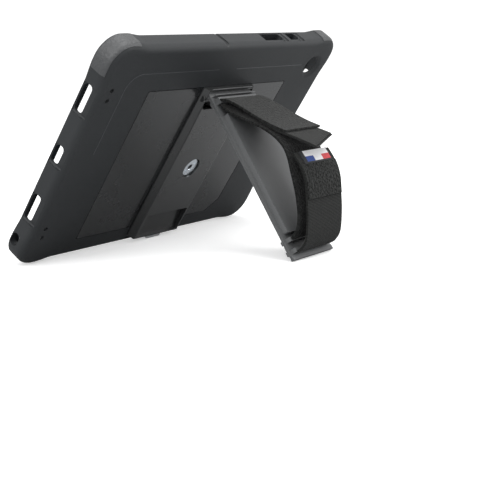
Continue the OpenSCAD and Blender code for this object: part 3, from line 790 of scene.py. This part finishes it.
ribbed = cloth("webbing_ribbed", (0.010, 0.0105, 0.010), 0.6, 0.7, 0.32, 0.00045, 0.08)
looped = cloth("webbing_looped", (0.0074, 0.0078, 0.0075), 1.4, 0.12, 0.4, 0.0008, 0.12)
plain = cloth("webbing_plain", (0.013, 0.0135, 0.013), 0.5, 0.5, 0.6, 0.0003, 0.08)
lower_run = smooth_run([(114.7, 4), (115.4, 2), (117.4, 1.4), (120.2, 1.4), (122, 2), (122.6, 4),
                        (123.8, 8.4), (123.6, 13), (119.8, 19.8), (108, 28.4), (96, 35.2), (86, 40),
                        (76, 41.8), (66.5, 41.2)])
inner_run = smooth_run([(114.6, 4.2), (114.2, 9), (110.6, 16.4), (103, 22.6), (90, 28.6), (76, 33),
                        (66, 36), (57, 36.4), (46, 32.4), (32, 23), (20, 13), (12.6, 8.4),
                        (8.6, 6.8), (7.4, 4.2)])
upper_run = smooth_run([(5.4, 4.2), (5.6, 7.4), (7.6, 11.6), (11.5, 15.6), (19, 21), (33, 30),
                        (43, 37.2), (51, 44)])
end_run = smooth_run([(35, 29), (45, 36.2), (51, 41), (57, 46.4), (63, 51.6), (68, 55.8), (72.5, 59.4)])
for name, run, width, material, node, slant in (
        ("strap_lower_run", lower_run, 44, ribbed, "strap_lower", 0),
        ("strap_inner_run", inner_run, 43, looped, "strap_inner", 0),
        ("strap_upper_run", upper_run, 44, looped, "strap_upper", 0),
        ("strap_plain_end", end_run, 42, plain, "strap_end", 15)):
    run_piece = webbing(name, run, width, 1.6, slant=slant)
    settle(run_piece, on_leg, 50)
    wear(run_piece, material)
    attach(run_piece, "kickstand")
    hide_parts(node)

# the patch and tag lie on the lower run, a little proud of it
def raised_run(run, low, high, lift):
    lifted = []
    for k, spot in enumerate(run):
        ahead, behind = run[min(k + 1, len(run) - 1)], run[max(k - 1, 0)]
        along = (ahead - behind).normalized()
        if low < spot.x < high and spot.y > 20:
            lifted.append(spot + Vector((along.y, -along.x)) * lift)
    return lifted


patch = webbing("sewn_patch", raised_run(lower_run, 75.2, 98, 1.15), 43, 0.7, edge=0.25)
settle(patch, on_leg, 50)
wear(patch, cloth("patch_hooks", (0.011, 0.0115, 0.011), 1.6, 0.05, 0.3, 0.0009, 0.06))
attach(patch, "kickstand")
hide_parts("strap_patch")

tag = webbing("woven_tag", raised_run(lower_run, 66.4, 76.5, 1.3), 34, 0.8, edge=0.2)
settle(tag, on_leg, 50)
weave = bpy.data.materials.new("tag_weave")
weave.use_nodes = True
nodes, links = weave.node_tree.nodes, weave.node_tree.links
chart = nodes.new("ShaderNodeUVMap")
chart.uv_map = "weave"
parts = nodes.new("ShaderNodeSeparateXYZ")
links.new(chart.outputs["UV"], parts.inputs["Vector"])


def band_mask(source, low, high):
    # one inside a band across the tag, nought outside
    over = nodes.new("ShaderNodeMath")
    over.operation = "GREATER_THAN"
    over.inputs[1].default_value = low
    under = nodes.new("ShaderNodeMath")
    under.operation = "LESS_THAN"
    under.inputs[1].default_value = high
    inside = nodes.new("ShaderNodeMath")
    inside.operation = "MULTIPLY"
    links.new(source, over.inputs[0])
    links.new(source, under.inputs[0])
    links.new(over.outputs["Value"], inside.inputs[0])
    links.new(under.outputs["Value"], inside.inputs[1])
    return inside.outputs["Value"]


def lay(under, over, mask):
    mix = nodes.new("ShaderNodeMix")
    mix.data_type = "RGBA"
    if isinstance(under, tuple):
        mix.inputs["A"].default_value = under
    else:
        links.new(under, mix.inputs["A"])
    mix.inputs["B"].default_value = over
    links.new(mask, mix.inputs["Factor"])
    return mix.outputs["Result"]


def both(a, b):
    product = nodes.new("ShaderNodeMath")
    product.operation = "MULTIPLY"
    links.new(a, product.inputs[0])
    links.new(b, product.inputs[1])
    return product.outputs["Value"]


threads = nodes.new("ShaderNodeTexWave")
threads.inputs["Scale"].default_value = 0.9
threads.inputs["Distortion"].default_value = 0.5
links.new(chart.outputs["UV"], threads.inputs["Vector"])
lower_half = band_mask(parts.outputs["Y"], 1.2, 5.2)
white = band_mask(parts.outputs["Y"], 1.2, 9.6)
face = both(white, band_mask(parts.outputs["X"], -13.2, 16.2))
color = lay((0.02, 0.021, 0.024, 1), (0.83, 0.83, 0.84, 1), face)
color = lay(color, (0.03, 0.07, 0.28, 1), both(lower_half, band_mask(parts.outputs["X"], -13.2, -3.5)))
color = lay(color, (0.58, 0.06, 0.07, 1), both(lower_half, band_mask(parts.outputs["X"], 6.5, 16.2)))
links.new(color, nodes["Principled BSDF"].inputs["Base Color"])
bump = nodes.new("ShaderNodeBump")
bump.inputs["Distance"].default_value = 0.00012
links.new(threads.outputs["Fac"], bump.inputs["Height"])
links.new(bump.outputs["Normal"], nodes["Principled BSDF"].inputs["Normal"])
nodes["Principled BSDF"].inputs["Roughness"].default_value = 0.75
wear(tag, weave)
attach(tag, "kickstand")
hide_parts("strap_tag")

# ---- Inside: ribs ----
# Thin rubber fins, moulded with the bumper, that fan out from the floor's middle
# to its walls and cushion the tablet's edges.
fins = []
for side in (-1, 1):
    for k in range(9):
        fins.append((-88 + 22 * k, side * 68, 90 * side, 24, -0.32 * (-88 + 22 * k) * side))
    for k in range(6):
        fins.append((side * 108, -50 + 20 * k, 90 - 90 * side, 28, 0.32 * (-50 + 20 * k) * side))
fin_pieces = []
for x, y, facing, length, skew in fins:
    fin = begin("inner_fin", -length / 2, length / 2, -0.8, 0.8, -6.7, -3.0)
    pick_edges(fin, lambda a, b: a.x < 0 and b.x < 0 and a.z < -6 and b.z < -6)
    bpy.ops.transform.translate(value=(0, 0, 3.0))
    pick_edges(fin, lambda a, b: abs(a.x - b.x) > 5 and a.z < -3.2 and b.z < -3.2)
    bpy.ops.mesh.bevel(offset=0.35, segments=2, affect="EDGES")
    off_bench(fin)
    fin.rotation_euler.z = math.radians(facing + skew)
    fin.location = (x, y, 0)
    fin_pieces.append(fin)
fins = join(fin_pieces)
fins.name = fins.data.name = "inner_fins"
settle(fins, on_case)
wear(fins, moulded("fin_rubber", (0.014, 0.0155, 0.017), 0.5, 900, 0.0001, 0.4))
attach(fins, "case")

# ---- Inside: tray, liners and shock pads ----
# A grey sheet with dark rubber liners stuck on it, and four moulded blue pads,
# in a lighter blue on top as a painted highlight and a darker blue on their sides
# as painted shade, that hold the tablet's back off the floor.
tray_grey = moulded("tray_grey", (0.075, 0.078, 0.082), 0.42, 700, 0.00004, 0.4)
liner_rubber = moulded("liner_rubber", (0.011, 0.0115, 0.0125), 0.6, 500, 0.00015, 0.5)
# the sheet is grey between the pads and along four narrow arms to the corners,
# and as dark as the rubber round its edge, where the fins stand
nodes, links = tray_grey.node_tree.nodes, tray_grey.node_tree.links
spot = nodes.new("ShaderNodeTexCoord").outputs["Object"]


def reckon(operation, a, b=0.0):
    step = nodes.new("ShaderNodeMath")
    step.operation = operation
    for socket, value in zip(step.inputs, (a, b)):
        if isinstance(value, float):
            socket.default_value = value
        else:
            links.new(value, socket)
    return step.outputs["Value"]


pad_x, pad_y = 67, 38.8
sides = nodes.new("ShaderNodeSeparateXYZ")
links.new(spot, sides.inputs["Vector"])
rise = reckon("MULTIPLY", reckon("SUBTRACT", sides.outputs["Z"], case_z / 1000), math.cos(lean))
reach = reckon("MULTIPLY", reckon("SUBTRACT", sides.outputs["Y"], case_y / 1000), math.sin(lean))
upright = reckon("SUBTRACT", rise, reach)
across = reckon("ABSOLUTE", reckon("ADD", sides.outputs["X"], 0.001))
upright = reckon("ABSOLUTE", reckon("SUBTRACT", upright, 0.001))
edge_zone = reckon("MAXIMUM", reckon("GREATER_THAN", across, 0.080), reckon("GREATER_THAN", upright, 0.050))
off_arm = reckon("SUBTRACT", reckon("MULTIPLY", reckon("SUBTRACT", upright, pad_y / 1000), 0.779),
                 reckon("MULTIPLY", reckon("SUBTRACT", across, pad_x / 1000), 0.627))
dark_zone = reckon("MULTIPLY", edge_zone, reckon("GREATER_THAN", reckon("ABSOLUTE", off_arm), 0.0065))
two_tone = nodes.new("ShaderNodeMix")
two_tone.data_type = "RGBA"
two_tone.inputs["A"].default_value = (0.075, 0.078, 0.082, 1)
two_tone.inputs["B"].default_value = (0.013, 0.014, 0.0155, 1)
links.new(dark_zone, two_tone.inputs["Factor"])
links.new(two_tone.outputs["Result"], nodes["Group"].inputs["Color"])
wear(frame["nodes"]["inner_tray"], tray_grey)
wear(frame["nodes"]["tray_window"], moulded("window_grey", (0.12, 0.125, 0.13), 0.35, 600, 0.00003, 0.35))
for name in ("liner_centre", "liner_top", "liner_bottom", "liner_left", "liner_right"):
    wear(frame["nodes"][name], liner_rubber)

# the same blue twice: a lighter copy as painted highlight for the tops, a darker copy as painted shade for
# the sides
pad_highlight_face = moulded("pad_painted_highlight_blue", (0.14, 0.50, 0.93), 0.38, 800, 0.00004, 0.15)
pad_shade_face = moulded("pad_blue", (0.02, 0.19, 0.62), 0.42, 800, 0.00004, 0.2)
for name, x, y in (("shock_pad_top_left", -1, 1), ("shock_pad_top_right", 1, 1),
                   ("shock_pad_bottom_left", -1, -1), ("shock_pad_bottom_right", 1, -1)):
    bpy.ops.object.select_all(action="DESELECT")
    bpy.ops.mesh.primitive_cylinder_add(vertices=3, radius=22, depth=3.1, location=(0, 0, -4.78))
    pad = bpy.context.object
    pad.name = pad.data.name = name.replace("shock_pad", "blue_pad")
    bpy.ops.object.mode_set(mode="EDIT")
    pick_edges(pad, lambda a, b: abs(a.z - b.z) > 2)
    bpy.ops.mesh.bevel(offset=7, segments=1, affect="EDGES")
    # each side between two lobes is dished
    pick_edges(pad, lambda a, b: abs(a.z - b.z) < 0.1 and (a - b).length > 15)
    bpy.ops.mesh.subdivide(number_cuts=1)
    pick_points(pad, lambda p: math.hypot(p.x, p.y) < 12)
    bpy.ops.transform.resize(value=(0.86, 0.86, 1), center_override=(0, 0, -4.78))
    pick_faces(pad, lambda c, n: n.z < -0.9)
    bpy.ops.mesh.inset(thickness=1.2, depth=0.4)
    bpy.ops.mesh.inset(thickness=2.6)
    bpy.ops.mesh.inset(thickness=0.5, depth=0.45)
    off_bench(pad)
    pad.rotation_euler.z = math.atan2(y * pad_y, x * pad_x) - math.radians(90)
    pad.location = (-1 + x * pad_x, 1 + y * pad_y, 0)
    soften(pad, 0.25, 2, 40)
    settle(pad, on_case)
    wear(pad, pad_shade_face)
    pad.data.materials.append(pad_highlight_face)
    # faces turned to the front take the lighter blue as a painted highlight; the rest keep the darker blue
    # as painted shade
    front = on_case.to_3x3() @ Vector((0, 0, -1))
    for face in pad.data.polygons:
        if face.normal.dot(front.normalized()) > 0.55:
            face.material_index = 1
    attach(pad, "case")
    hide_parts(name)
